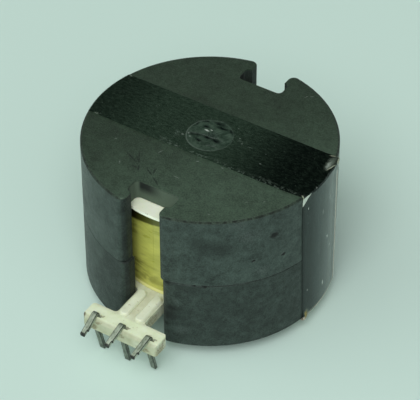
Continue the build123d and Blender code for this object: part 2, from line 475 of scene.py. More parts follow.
def node(kind, inputs, output=0, **settings):
    """Adds one node beside those that feed it, and gives back one of its outputs."""
    tree = next(value.id_data for value in inputs.values() if comes_from_node(value))
    made = tree.nodes.new("ShaderNode" + kind)
    for name, value in settings.items():
        setattr(made, name, value)
    for name, value in inputs.items():
        give(made.inputs[name], value)
    return made.outputs[output]


def new_material(name, roughness):
    """A material and its main shader."""
    material = bpy.data.materials.new(name)
    material.use_nodes = True
    shader = material.node_tree.nodes["Principled BSDF"]
    feed(shader, Roughness=roughness)
    return material, shader


def feed(shader, **values):
    """Fills sockets of the shader, where Base_Color stands for Base Color."""
    for name, value in values.items():
        give(shader.inputs[name.replace("_", " ")], value)


def set_bump(shader, height, depth_mm, strength=1.0):
    """Lets a pattern catch the light as if it were raised by this depth."""
    inputs = {"Height": height, "Distance": depth_mm * mm, "Strength": strength}
    feed(shader, Normal=node("Bump", inputs))


def dress(material, *names):
    """Gives pieces their finish."""
    for name in names:
        piece = bpy.data.objects[name]
        if not piece.data.materials:
            piece.data.materials.append(None)
        piece.data.materials[0] = material
        print(name, "wears", material.name)


# %% [markdown]
# All patterns read the piece's own Object coordinates, scaled to millimetres: then a noise of scale 5
# has features of a fifth of a millimetre, and the pattern stays on the piece from every side.
# %% Place helpers
def place_in_mm(shader):
    place = shader.id_data.nodes.new("ShaderNodeTexCoord").outputs["Object"]
    return node("VectorMath", {0: place, "Scale": 1 / mm}, operation="SCALE")


def coordinates(place):
    """The X, the Y and the Z of a place."""
    return node("SeparateXYZ", {0: place}).node.outputs


def stretched(place, scale):
    """A place or a colour, with each of its three numbers multiplied by its own share."""
    return node("VectorMath", {0: place, 1: scale}, operation="MULTIPLY")


def length_of(place):
    return node("VectorMath", {0: place}, "Value", operation="LENGTH")


def axis_distance(place):
    """How far a place is from the core's axis."""
    return length_of(stretched(place, (1, 1, 0)))


def wobbled(place, scale, amount):
    """The same place, pushed about by noise, which makes a drawn edge uneven."""
    push = node("TexNoise", {"Vector": place, "Scale": scale, "Detail": 2.0}, "Color")
    centred = node("VectorMath", {0: push, 1: (0.5, 0.5, 0.5)}, operation="SUBTRACT")
    moved = node("VectorMath", {0: centred, "Scale": amount}, operation="SCALE")
    return node("VectorMath", {0: place, 1: moved}, operation="ADD")


# %% [markdown]
# A mask is a number from 0 to 1 that says where a mark lies. It is made from a height, a distance or
# a noise, held between two limits. Masks are joined by multiplying them, or by taking the larger one.
# %% Number and mask helpers
def noise(place, scale, detail=3.0, roughness=0.55, distortion=0.0):
    shape = {"Scale": scale, "Detail": detail, "Roughness": roughness, "Distortion": distortion}
    return node("TexNoise", {"Vector": place, **shape})


def maths(operation, first, second=0.0):
    return node("Math", {0: first, 1: second}, operation=operation)


def times(first, second):
    return maths("MULTIPLY", first, second)


def plus(first, second):
    return maths("ADD", first, second)


def minus(first, second):
    return maths("SUBTRACT", first, second)


def larger(first, second):
    return maths("MAXIMUM", first, second)


def size_of(value):
    return maths("ABSOLUTE", value)


def scaled(value, low, high, new_low=0.0, new_high=1.0):
    """Maps a range of values to another one in a straight line, and holds it at the ends."""
    wants = {"Value": value, "From Min": low, "From Max": high, "To Min": new_low, "To Max": new_high}
    return node("MapRange", wants)


def mask(value, zero_at, one_at):
    """0 at one value and 1 at the other, with a soft step between them."""
    wants = {"Value": value, "From Min": zero_at, "From Max": one_at}
    return node("MapRange", wants, interpolation_type="SMOOTHSTEP")


def both(*masks):
    """Where all of the masks hold."""
    return reduce(times, masks)


def most(*masks):
    """Where any of the masks holds."""
    return reduce(larger, masks)


# %% [markdown]
# Colours are laid over one another like thin paint. `painted` adds one where its mask lets it through.
# %% Colour helpers
def mixed(factor, first, second):
    """The Mix node for colours: its sockets 6 and 7 are the two colours, and 2 is the result."""
    colours = []
    for value in (first, second):
        colours.append(value if comes_from_node(value) else (*value, 1))
    return node("Mix", {0: factor, 6: colours[0], 7: colours[1]}, 2, data_type="RGBA")


def painted(under, where, paint, strength):
    return mixed(times(where, strength), under, paint)


def ramp(value, dark, light, low=0.3, high=0.7):
    """A colour that runs from dark to light as the value goes from low to high."""
    return mixed(scaled(value, low, high), dark, light)


# %% [markdown]
# A mark at one place, such as a pit, is drawn as a soft ellipsoid there, and a scratch as a long flat
# one. So each mark is one row in a list, and it can be moved by changing its numbers.
# %% Mark helpers
def spot(place, centre, size, turn=0.0, soft=0.5):
    """1 inside an ellipsoid at that place and of that half size, fading to 0 at its skin."""
    inputs = {"Vector": place, "Location": centre, "Rotation": (0, 0, turn), "Scale": size}
    local = node("Mapping", inputs, vector_type="TEXTURE")
    return mask(length_of(local), 1, 1 - soft)


def spots(place, rows, soft=0.6):
    """Any of several spots, each row a centre and a half size."""
    return most(*[spot(place, row[:3], row[3:6], soft=soft) for row in rows])


def strokes(place, level, rows, soft=0.6):
    """Any of several flat strokes at one height, each row its two ends and its half width."""
    made = []
    for x1, y1, x2, y2, wide in rows:
        middle = ((x1 + x2) / 2, (y1 + y2) / 2, level)
        size = (math.dist((x1, y1), (x2, y2)) / 2 + wide, wide, 0.4)
        made.append(spot(place, middle, size, math.atan2(y2 - y1, x2 - x1), soft))
    return most(*made)


# %% [markdown]
# ## Ferrite
# The core is pressed from iron-oxide powder and fired, so it is a dark grey ceramic: matt, very
# slightly green, with a fine grain and cloudy patches. Three noises of different size make those.
# Noise can't put a scratch or a pit at its own place, so such marks are listed, in millimetres.
# %% Marks on the ferrite
scratches = [  # on the top: two ends, then half width
    (-3.4, -5.8, -3.2, -5, 0.05),
    (0.2, -8.1, 1.1, -8.2, 0.05),
    (5.7, 11.9, 5.9, 12.3, 0.06),
    (6.1, 12.4, 6.5, 12.6, 0.06),
    (-6, -9.8, -6.4, -9, 0.04),
    (9.4, -7.7, 9.8, -7.5, 0.05),
    (1.1, -4.7, 1.3, -4.5, 0.08),
    (4.1, -4.1, 4.3, -4.1, 0.09),
    (-9, -6.3, -8.8, -6.1, 0.06),
    (7, -11.6, 7.3, -11.5, 0.05),
    (11.2, -6.6, 11.3, -6.2, 0.05),
]
scuffs = [  # the same, for dark lines that run out from the front slot
    (-7, -7.3, -4.1, -8.6, 0.15),
    (-5.5, -6.5, -4.1, -8.5, 0.14),
    (-5.4, -7.3, -4.1, -8.5, 0.12),
    (-4.1, -8.6, -3.6, -9.6, 0.17),
    (-3.2, -8.5, -1.7, -9.5, 0.14),
    (-1.7, -9.5, -0.2, -10.5, 0.14),
    (-2.1, -8, -1.9, -9.1, 0.15),
    (-4.9, -9.1, -3.9, -9.2, 0.14),
]
pits = [  # on the side: angle round the core in degrees, height, half width
    (-29, 16, 0.78),
    (-24, 12.5, 0.42),
    (-38.6, 13, 0.34),
    (-60, 9.7, 0.4),
    (-64.5, 9.8, 0.3),
    (148, 13.2, 0.4),
    (201, 6, 0.35),
    (60, 15.2, 0.3),
]
smudges = [  # the same, for large dull patches
    (-61, 15.8, 2.6),
    (-52.5, 15.4, 2.4),
    (-44.5, 5.5, 2.4),
    (-38, 4.6, 2.6),
    (-30, 2.2, 2.6),
    (-67, 3.6, 2),
    (-24, 3.5, 2),
    (-55, 2, 2.2),
    (-120, 4, 3),
    (-138, 13, 3),
    (60, 6, 3.5),
    (120, 14, 3.5),
]
stained = [  # the same, for dirt beside the front slot
    (-77, 4.6, 1.7),
    (-75, 5.8, 1.2),
    (-77.5, 3.2, 0.9),
    (-76.5, 9.6, 0.6),
]
rubbed = [  # the same, for paler patches
    (-40.5, 17, 1.8),
    (-46, 18.6, 1.5),
    (-73, 6.8, 1),
    (-70, 2.4, 1.5),
    (-34, 11.3, 1.6),
    (-112, 13, 3),
    (75, 12, 3),
]
print("on the core:", len(scratches + scuffs), "lines,", len(pits + smudges + stained + rubbed), "spots")

# %% [markdown]
# Places on the core's side are easier to read off as an angle round it and a height, so those lists
# are written that way and turned into X, Y and Z here.
# %% Spots on the core's side
top_height = core_high.z / mm
joint_height = joint_low.z / mm
print("the core is closed at", round(joint_height, 2), "mm, and its top is at", round(top_height, 2), "mm")


def on_skin(angle, height):
    """The place on the core's side at an angle and a height, in millimetres."""
    turn = math.radians(angle)
    return (core_radius / mm * math.cos(turn), core_radius / mm * math.sin(turn), height)


def side_spots(place, rows, soft):
    """Spots on the core's side, each row an angle in degrees, a height and a half width."""
    placed = [(*on_skin(angle, z), wide, wide, wide * 0.75) for angle, z, wide in rows]
    return spots(place, placed, soft)


# %% [markdown]
# First the plain grain. The top shows more of the finest noise than the side does, and the left half
# of the side is calmer. Without marks on it, this is already the colour of clean ferrite.
# %% Colour of clean ferrite
def clean_ferrite(x, on_top, coarse, grain):
    """The grain's tone and its colour."""
    share = scaled(on_top, 0, 1, 0.35, 0.52)
    tone = plus(times(grain, share), times(coarse, minus(1.0, share)))
    side = ramp(tone, (0.008, 0.015, 0.012), (0.045, 0.07, 0.059), 0.4, 0.6)
    side = painted(side, mask(x, -2, -5), (0.024, 0.039, 0.032), 0.55)
    upper = ramp(tone, (0.009, 0.018, 0.01), (0.033, 0.06, 0.036), 0.4, 0.6)
    return tone, mixed(on_top, side, upper)


# %% [markdown]
# Little light comes into the wire slots, so they are darkened with painted shade. Deep in the front one
# the wall is painted paler, as painted light that comes in from the front, but for one dark corner at
# its upper left, which is painted shade.
# %% Inside the wire slots
def shade_slots(colour, place, on_top):
    """The colour with painted shade in its slots and painted light deep in the front one, and the shade's
    mask.
    """
    x, y, z = coordinates(place)
    from_axis = axis_distance(place)
    below_top = minus(1.0, on_top)
    sideways = size_of(x)
    in_slot = both(below_top, mask(sideways, 3.1, 3.0), mask(from_axis, 14.9, 14.7))
    inner = both(in_slot, mask(from_axis, 12.9, 12.4))
    # painted light: the deep wall of the front slot, lit from the front
    lit_deep_wall = both(inner, mask(y, 1, -1))
    dim = most(times(in_slot, 0.5), inner)
    colour = mixed(dim, colour, (0.003, 0.005, 0.004))
    colour = painted(colour, lit_deep_wall, (0.1, 0.14, 0.1), 0.8)
    at_left = both(mask(x, 0.8, -1.6), mask(x, -2.75, -2.35))
    # painted shade: one dark corner at the upper left of that wall
    corner = both(lit_deep_wall, at_left, mask(z, 17.4, 18.7))
    return mixed(corner, colour, (0.008, 0.013, 0.01)), dim


# %% [markdown]
# Ferrite is brittle, so it chips where its edges are sharp: at the rim of the plate and along the
# joint of the two halves. A coarse noise breaks those lines up. Chips and pits are the darkest marks.
# %% Chips and pits
def chipped(place, uneven):
    """Where the surface is broken: in the pits, along the joint and at the upper rim."""
    x, _, z = coordinates(place)
    from_axis = axis_distance(place)
    holes = times(side_spots(uneven, pits, 0.7), 0.95)
    broken = noise(stretched(place, (1, 1, 0.3)), 1.7, 5, 0.7)
    at_rim = both(mask(from_axis, 14.75, 14.87), mask(z, top_height - 0.25, top_height - 0.1))
    rim = times(at_rim, scaled(broken, 0.4, 0.62, 0.3, 0.9))
    at_joint = spot(place, (0, 0, joint_height), (40, 40, 0.16))
    plain = scaled(x, -6, -2.5)  # the left side is cleaner
    chips = both(at_joint, scaled(broken, 0.46, 0.7, 0.25, 0.7), plain)
    return most(holes, chips, rim)


# %% [markdown]
# Now the coats are laid over one another, from clean ferrite to what is broken. Dirty and broken
# places are also rougher, and the broken ones lie deeper.
# %% Ferrite material
def ferrite():
    material, shader = new_material("Fired_ferrite", 0.5)
    place = place_in_mm(shader)
    x, y, z = coordinates(place)
    clouds = noise(place, 0.35, 4, 0.6)
    mottle = noise(place, 1.3, 5, 0.7)
    grain = noise(place, 6.0, 3, 0.7)
    on_top = mask(z, 19.2, 19.4)
    coarse = plus(times(mottle, 0.6), times(clouds, 0.4))
    tone, colour = clean_ferrite(x, on_top, coarse, grain)

    loose = wobbled(place, 0.5, 2.2)
    smudged = times(side_spots(loose, smudges, 1.0), scaled(mottle, 0.4, 0.6, 0.3, 1.0))
    lower_half = mask(z, joint_height, joint_height - 0.2)
    dull = most(smudged, both(lower_half, scaled(clouds, 0.4, 0.6, 0.1, 0.75)))
    colour = mixed(dull, colour, stretched(colour, (0.25, 0.3, 0.28)))
    dirty = times(side_spots(wobbled(place, 1.5, 0.8), stained, 1.0), 0.95)
    colour = mixed(dirty, colour, (0.004, 0.007, 0.006))
    worn = times(side_spots(loose, rubbed, 1.0), scaled(grain, 0.4, 0.6, 0.15, 0.6))
    colour = mixed(worn, colour, (0.065, 0.085, 0.077))
    # the top is paler towards its front right
    paler_front_right = both(on_top, mask(minus(x, y), -6, 16), scaled(tone, 0.4, 0.6, 0.3))
    colour = painted(colour, paler_front_right, (0.072, 0.118, 0.08), 0.7)

    colour, dim = shade_slots(colour, place, on_top)
    uneven = wobbled(place, 3.0, 0.25)
    scuffed = strokes(uneven, top_height, scuffs, 0.7)
    colour = painted(colour, scuffed, (0.008, 0.014, 0.01), 0.9)
    scratched = strokes(uneven, top_height, scratches)
    colour = painted(colour, scratched, (0.26, 0.3, 0.27), 0.6)
    dark = chipped(place, uneven)
    colour = mixed(dark, colour, (0.004, 0.006, 0.005))

    matt = most(dark, dirty, dim, times(dull, 0.3))
    rough = plus(scaled(tone, 0.4, 0.6, 0.6, 0.46), times(matt, 0.4))
    feed(shader, Base_Color=colour, Roughness=rough, Specular_IOR_Level=0.4)
    feed(shader, Sheen_Weight=0.1, Sheen_Tint=(0.8, 1.0, 0.92, 1), Sheen_Roughness=0.3)
    set_bump(shader, minus(plus(grain, mottle), times(dark, 3.0)), 0.05, 0.8)
    return material


dress(ferrite(), "upper_core_half", "lower_core_half")

# %% [markdown]
# ## Bobbin
# The bobbin is one moulding of cream thermoplastic. Handling and soldering have left it a little
# brown along its edges, in the wire holes and on one end of its board. The base colour is light and
# nearly even. The brown places are listed, and a fine noise breaks them up.
# %% Bobbin material
stains = [  # place, then half size along x, y and z, in millimetres
    (5.1, -18.6, 3.1, 0.6, 1.4, 1.1),
    (5.1, -19.3, 2.4, 0.5, 0.6, 0.6),
    (5.1, -17.9, 3.8, 0.5, 0.6, 0.5),
    (-5, -19.4, 3.9, 0.35, 0.5, 0.6),
    (-3.6, -19.6, 3.1, 0.9, 0.3, 0.6),
    (0.4, -19.6, 3.5, 0.5, 0.3, 0.4),
    (3.3, -19.6, 3, 1.2, 0.3, 0.5),
    (-2.9, -19.6, 3.9, 0.5, 0.3, 0.35),
    (1.9, -15.6, 3.3, 0.25, 2.2, 1.2),
    (4.4, -18.5, 4.26, 0.4, 0.25, 0.2),
    (-2.9, -18.6, 4.26, 0.35, 0.25, 0.2),
    (0.75, -18.6, 4.26, 0.35, 0.25, 0.2),
    (5.1, 18.4, 3.3, 0.4, 0.8, 0.8),
    (-4.9, 19.4, 3.4, 0.4, 0.4, 0.6),
    (-1.9, 15.2, 3.3, 0.25, 2, 1.2),
]


def bobbin_plastic():
    material, shader = new_material("Cream_moulding", 0.42)
    place = place_in_mm(shader)
    x, y, z = coordinates(place)
    clouds = noise(place, 0.8, 4, 0.6)
    fine = noise(place, 6.0, 3, 0.6)
    colour = ramp(clouds, (0.6, 0.63, 0.45), (0.74, 0.78, 0.61))
    board_top = both(mask(y, -17.2, -17.7), mask(z, 4.1, 4.2))
    # paler from 12 mm up and on the board's top
    paler_top_parts = most(mask(z, 12, 13), board_top)
    colour = mixed(paler_top_parts, colour, ramp(clouds, (0.74, 0.82, 0.56), (0.86, 0.93, 0.71)))
    # painted light: the upper flange is coloured near white for the strong light that falls on it in the
    # slot
    lit_flange_colour = ramp(clouds, (0.93, 1.0, 0.76), (0.97, 1.0, 0.84))
    colour = mixed(mask(z, 15, 16), colour, lit_flange_colour)
    between = mask(size_of(x), 0.55, 0.35)
    on_neck = mask(size_of(y), 17.2, 16.4)
    # brown dirt and painted shade in the groove between the ribs
    groove_dirt_and_shade = both(between, on_neck, mask(z, 4.2, 4.26), mask(z, 4.45, 4.3))
    colour = painted(colour, groove_dirt_and_shade, (0.45, 0.38, 0.24), 0.2)
    # painted highlight on the tops of the ribs
    rib_highlight = both(mask(z, 4.45, 4.58), mask(z, 5.2, 5.0))
    colour = painted(colour, rib_highlight, (0.9, 0.95, 0.78), 0.35)
    # painted shade: the board's front face and its rounded top edge are darker
    shaded_front = mask(y, -19.05, -19.4)
    colour = mixed(shaded_front, colour, ramp(clouds, (0.4, 0.42, 0.27), (0.54, 0.57, 0.42)))
    uneven = wobbled(place, 1.6, 0.7)
    brown = both(spots(uneven, stains, 0.6), scaled(fine, 0.35, 0.6, 0.25))
    colour = painted(colour, brown, (0.17, 0.13, 0.06), 0.85)
    burnt = spot(place, (-5.05, -19.3, 3.9), (0.42, 0.42, 0.6), soft=0.6)
    colour = mixed(burnt, colour, (0.03, 0.022, 0.015))
    dust = mask(noise(place, 2.7, 2, 0.5), 0.69, 0.75)
    colour = painted(colour, dust, (0.3, 0.22, 0.1), 0.5)
    feed(shader, Base_Color=colour, Roughness=scaled(fine, 0.3, 0.7, 0.48, 0.62))
    feed(shader, Subsurface_Weight=0.15, Subsurface_Radius=(0.6 * mm, 0.5 * mm, 0.3 * mm))
    set_bump(shader, plus(clouds, times(fine, 0.3)), 0.03, 0.5)
    return material


dress(bobbin_plastic(), "bobbin")

# %% [markdown]
# ## Yellow tape
# The tape is thin yellow polyester over brown enamelled wire, so it looks olive wherever it is
# stretched or wrinkled and the wire shows through; towards the left those streaks are heavier, as
# painted shade. A slanting band under the flange is the darkest: it is the flange's painted shadow,
# near black on the left. The flared lower edge, with nothing behind it, is the palest.
# %% Tape material
def tape():
    material, shader = new_material("Yellow_tape", 0.3)
    place = place_in_mm(shader)
    x, _, z = coordinates(place)
    low, high = tape_low.z / mm, tape_high.z / mm
    clouds = noise(stretched(place, (0.35, 0.35, 1.0)), 0.8, 4, 0.6)
    colour = ramp(clouds, (0.42, 0.43, 0.085), (0.64, 0.64, 0.15))

    smudge = noise(stretched(place, (0.25, 0.25, 1.0)), 0.75, 3, 0.6, 0.8)
    lower = both(mask(z, low + 6.5, low + 2.5), mask(z, low + 0.4, low + 0.8))
    # the streaks are real smudges in the lower band, made heavier towards the left as painted shade
    streaks_and_left_shade = times(lower, scaled(x, -3, 1.5, 1.0, 0.3))
    streaks_and_left_shade = plus(streaks_and_left_shade, times(mask(x, -1.0, -3.2), 0.7))
    streaks = both(mask(smudge, 0.47, 0.62), streaks_and_left_shade)
    colour = painted(colour, streaks, (0.17, 0.165, 0.022), 0.85)
    edge = mask(z, low + 0.42, low + 0.3)
    colour = mixed(edge, colour, (0.78, 0.76, 0.3))

    # painted shadow of the upper flange: a slanting band, near black on the left
    slant = coordinates(wobbled(place, 0.8, 0.25))[2]
    slant = minus(slant, times(x, 0.17))
    flange_shadow = mixed(scaled(x, -3.0, 1.5), (0.02, 0.02, 0.003), (0.17, 0.18, 0.03))
    colour = mixed(mask(slant, high - 2.15, high - 1.85), colour, flange_shadow)
    feed(shader, Base_Color=colour, Roughness=scaled(clouds, 0.3, 0.7, 0.24, 0.4))
    set_bump(shader, smudge, 0.12, 0.4)
    return material


dress(tape(), "interlayer_tape", "wound_tape")

# %% [markdown]
# ## Enamelled wire
# The windings lie under the tape and show only at its edge. The wire is copper with brown enamel,
# laid in turns, which a wave along Z draws as fine ridges.
# %% Winding material
def enamelled_wire():
    material, shader = new_material("Enamelled_wire", 0.3)
    place = place_in_mm(shader)
    turns = node("TexWave", {"Vector": place, "Scale": 1.6}, 1, bands_direction="Z")
    uneven = plus(times(turns, 0.8), times(noise(place, 2.0), 0.3))
    colour = ramp(uneven, (0.12, 0.03, 0.01), (0.5, 0.18, 0.06), 0.1, 1.0)
    feed(shader, Base_Color=colour, Metallic=0.6)
    set_bump(shader, turns, 0.1)
    return material


dress(enamelled_wire(), "primary_winding", "secondary_winding")

# %% [markdown]
# ## Tinned wire
# The terminals are dipped in solder, which has gone dull: grey and streaked along the wire. Under the
# board they are darker, as painted shade, and they are darker at the bend and nearly black at the cut
# end, where the solder is missing.
# %% Terminal material
def tinned_wire():
    material, shader = new_material("Tinned_wire", 0.42)
    place = place_in_mm(shader)
    _, y, z = coordinates(place)
    outward = size_of(y)
    streaks = noise(stretched(place, (3.0, 0.5, 0.5)), 2.2, 4, 0.6)
    blotches = noise(place, 1.8, 4, 0.65)
    tone = plus(times(streaks, 0.5), times(blotches, 0.5))
    colour = ramp(tone, (0.2, 0.24, 0.17), (0.5, 0.57, 0.46), 0.38, 0.6)
    # painted shade under the board
    shade_under_board = both(mask(z, 3.4, 2.4), scaled(streaks, 0.4, 0.6, 0.95, 0.6))
    colour = mixed(shade_under_board, colour, (0.05, 0.062, 0.045))
    bend = both(mask(outward, 19.3, 18.8), mask(z, 4.0, 4.5))
    colour = painted(colour, bend, (0.09, 0.115, 0.1), 0.8)
    colour = mixed(mask(outward, 21.6, 21.8), colour, (0.008, 0.01, 0.008))
    rough = scaled(blotches, 0.3, 0.7, 0.34, 0.55)
    feed(shader, Base_Color=colour, Roughness=rough, Metallic=0.35)
    set_bump(shader, tone, 0.05, 0.6)
    return material


# %% [markdown]
# Along the corners of the wire the solder is thin and has gone nearly black. That is a finish of its
# own, which the bevel's faces wear.
# %% Tarnished corners
def tarnish():
    material, shader = new_material("Tarnished_edge", 0.5)
    blotches = noise(place_in_mm(shader), 3.0, 3, 0.6)
    colour = ramp(blotches, (0.004, 0.005, 0.004), (0.06, 0.07, 0.055), 0.42, 0.68)
    feed(shader, Base_Color=colour, Metallic=0.3)
    return material


terminal_wires = [f"wire_{number}" for number in range(1, 7)]
dress(tinned_wire(), *terminal_wires)
edge_material = tarnish()
for name in terminal_wires:
    bpy.data.objects[name].data.materials[1] = edge_material

# %% [markdown]
# ## Clear film
# Film looks dark where its glue wets the ferrite, and pale where air is under it: over the centre
# hole, in the lifted corners and along the edges. Its marks are listed first, as those of the core.
# %% Marks on the film
lifted_spots = [  # place, then half size along x, y and z
    (14.3, 3.2, 19.45, 0.7, 1.7, 0.6),
    (14.9, 4.4, 19.3, 0.6, 0.7, 0.8),
    (14.9, -1.2, 0.3, 0.5, 1, 0.4),
    (14.9, -2.4, 0.6, 0.5, 0.7, 0.9),
    (-13.4, -3.7, 19.5, 0.4, 0.3, 0.3),
    (-13.9, 4.4, 19.5, 0.3, 0.3, 0.3),
    (1.75, -1.6, 19.4, 0.5, 0.12, 0.3),
]
# bright spots: painted glints on the creased film, and pale flecks
glints_and_flecks = [  # the same, for bright spots
    (14.82, -2.69, 17.3, 0.12, 0.1, 0.25),
    (14.95, 1.81, 9.7, 0.12, 0.2, 0.3),
    (15.02, 1.06, 2.9, 0.12, 0.2, 0.55),
    (15, -1.18, 19.38, 0.15, 0.15, 0.1),
    (14.88, -2.3, 4.3, 0.1, 0.1, 0.15),
    (14.82, 2.68, 7.7, 0.1, 0.16, 0.3),
    (15, 0.4, 14.6, 0.1, 0.08, 0.7),
    (14.9, 2.2, 15.6, 0.1, 0.08, 0.9),
    (-0.84, 0.64, 19.4, 0.42, 0.17, 0.3),
    (-0.4, 1, 19.4, 0.2, 0.1, 0.3),
    (-2.3, -1, 19.4, 0.2, 0.16, 0.3),
]
specks = [  # the same, for dust on the top
    (3.23, 1.35, 19.5, 0.15, 0.12, 0.2),
    (3.9, 0.7, 19.5, 0.15, 0.12, 0.2),
    (2.19, 2.77, 19.5, 0.12, 0.08, 0.2),
    (-8.1, 1.2, 19.5, 0.12, 0.07, 0.2),
    (-2.27, -3.6, 19.5, 0.3, 0.1, 0.2),
    (-1.9, -1.35, 19.4, 0.25, 0.2, 0.3),
    (-2.8, -1.5, 19.5, 0.25, 0.2, 0.3),
    (7.5, -1.2, 19.5, 0.2, 0.1, 0.2),
]
folds = [  # over the hole: two ends, then half width
    (-2.6, -1.1, -0.6, -0.35, 0.42),
    (-1, -0.5, 0.8, -0.35, 0.42),
    (0.2, -0.3, 1.9, -0.6, 0.58),
    (-1.27, -1.23, -0.2, -1.41, 0.34),
    (-2.5, 0.6, -2.2, 1.5, 0.3),
    (-2.1, 1.6, -1.4, 2.1, 0.36),
    (-1.5, 1.15, -0.9, 1.2, 0.36),
    (-1.1, 2.3, 1, 2.4, 0.5),
    (-0.3, 1.8, 1.4, 1.9, 0.42),
    (1.3, 2.2, 2.1, 1.6, 0.34),
]
bubble = [  # the same, for the outline of the air under the lifted corner
    (13.45, 4.2, 14.3, 4.5, 0.08),
    (14.3, 4.5, 14.65, 4.45, 0.12),
    (14.65, 4.45, 14.95, 3.4, 0.11),
    (14.4, 1.7, 14.95, 3.3, 0.08),
    (14.35, -3.5, 15, -3.9, 0.14),
]
dusty_patches = [  # place, then half size along x, y and z
    (-4, -3.3, 19.5, 1.5, 0.35, 0.3),
    (3.5, 1, 19.5, 0.6, 0.35, 0.3),
    (5, 0.6, 19.5, 0.5, 0.3, 0.3),
    (-3.4, -1.6, 19.5, 0.9, 0.8, 0.3),
    (9.5, -3.2, 19.5, 2, 0.3, 0.3),
]
print("on the film:", len(folds + bubble), "lines,", len(lifted_spots + glints_and_flecks + specks), "spots")

# %% [markdown]
# Seen from above, glued film is nearly black, and it is painted darker towards its ends, as painted
# reflection of darker surroundings. Over the hole it is loose and so a little paler, with painted
# shade along its folds and a thin pale ring at the glue's edge on the hole's rim, brightened on its
# front left as a painted highlight.
# %% Glued and loose film
film_level = 19.45  # about the height of the film's top, in millimetres


def film_top(place, fine, haze, over_hole):
    """The colour of the clean top."""
    x, y, _ = coordinates(place)
    wet = ramp(fine, (0.011, 0.023, 0.014), (0.037, 0.061, 0.042), 0.36, 0.66)
    ends = most(mask(x, 1, 11), times(mask(x, -6, -14), 0.6))
    # painted reflection: darker towards the ends
    dark_reflection = times(ends, scaled(fine, 0.45, 0.65, 1.0, 0.7))
    wet = mixed(dark_reflection, wet, (0.001, 0.003, 0.002))
    loose = ramp(haze, (0.022, 0.04, 0.028), (0.07, 0.108, 0.08), 0.4, 0.62)
    top = painted(wet, over_hole, loose, 0.75)
    # painted shade along the folds
    fold_shade = strokes(wobbled(place, 2.0, 0.3), film_level, folds, 1.0)
    top = mixed(fold_shade, top, (0.001, 0.003, 0.003))
    from_ring = size_of(minus(axis_distance(place), 2.76))
    # the glue's edge round the hole, with a painted highlight that is strongest on its front left
    lit_side_of_ring = scaled(plus(y, x), -3.9, 3.0, 0.5, 0.08)
    ring = both(mask(from_ring, 0.1, 0.03), lit_side_of_ring)
    return mixed(ring, top, (0.16, 0.2, 0.17))


# %% [markdown]
# Dust lies on it as fine grains, as powder in a few patches and near the front edge, and as specks.
# %% Dust on the film
def dusty_top(place, uneven, top, fine, dust):
    """The colour of the top with its dust."""
    x, y, _ = coordinates(place)
    top = painted(top, dust, (0.16, 0.2, 0.17), 0.4)
    powder = both(spots(uneven, dusty_patches, 1.0), mask(fine, 0.4, 0.65))
    crumbs = mask(noise(place, 3.0, 3, 0.6), 0.52, 0.64)
    near_edge = both(mask(y, -3.0, -3.6), mask(x, -6, -3), crumbs)
    top = painted(top, most(powder, near_edge), (0.13, 0.17, 0.14), 0.5)
    return painted(top, spots(place, specks, 0.9), (0.3, 0.35, 0.31), 0.5)


# %% [markdown]
# Down the side the film's blue-grey colour, paler towards its rear edge and darker towards its front,
# is a painted reflection of the pale surroundings, and so are the streaks and pale lines on the right.
# `slant` is the distance across the film between its own leaning edges.
# %% Side of the film
def film_side(place, slant, streaks, dust):
    """The colour of the side between its two edges."""
    x, _, _ = coordinates(place)
    on_right = mask(x, -1, 0)
    # painted reflection: paler towards the rear edge, darker towards the front
    reflection_to_rear = times(mask(slant, -1.0, 3.8), 0.7)
    side = mixed(reflection_to_rear, (0.026, 0.039, 0.037), (0.1, 0.125, 0.115))
    side = painted(side, mask(slant, -0.5, -2.5), (0.004, 0.008, 0.007), 0.75)
    # painted reflection: streaks and pale lines on the right; the dust is real
    speckle = scaled(noise(place, 4.0, 3, 0.7), 0.35, 0.65, 0.7, 1.3)
    reflection_gain = times(scaled(streaks, 0.38, 0.66, 0.45, 1.7), speckle)
    reflection_gain = plus(times(minus(reflection_gain, 1.0), on_right), 1.0)
    side = node("VectorMath", {0: side, "Scale": reflection_gain}, operation="SCALE")
    lines = mask(noise(stretched(place, (4.0, 4.0, 0.25)), 2.0, 3, 0.6), 0.58, 0.68)
    lines = both(lines, mask(slant, -2.5, 0.5), on_right)
    side = painted(side, lines, (0.13, 0.165, 0.16), 0.35)
    return painted(side, dust, (0.24, 0.28, 0.26), 0.6)


# %% [markdown]
# The side's front edge is a black line, and its rear and lower edges are pale. Under the upper front
# corner a pale patch with a curved edge is a painted highlight, where the lifted film catches the
# light. Where the film bends over the rim it is black again, as a painted shadow of the film's edge.
# %% Edges of the film
def film_edges(place, uneven, slant, side, on_side):
    """The side's colour with its edges, and the mask of the painted shadow at the top rim."""
    _, y, z = coordinates(place)
    side = mixed(mask(slant, -3.35, -3.5), side, (0.001, 0.002, 0.002))
    pale_rim = most(mask(slant, 3.85, 4.05), mask(z, 0.5, 0.3))
    side = painted(side, pale_rim, (0.55, 0.5, 0.4), 0.75)
    # painted highlight under the upper front corner
    drop = maths("POWER", minus(film_level, z), 0.75)
    corner = plus(slant, times(drop, 1.3))
    side = mixed(mask(corner, -1.95, -2.15), side, (0.62, 0.68, 0.6))
    # painted shadow where the film bends over the top rim
    length = both(mask(coordinates(uneven)[1], -2.2, -1.8), mask(y, 3.4, 2.8))
    rim_shadow_line = both(on_side, mask(z, 19.05, 19.2), length)
    return mixed(rim_shadow_line, side, (0.002, 0.003, 0.003)), rim_shadow_line
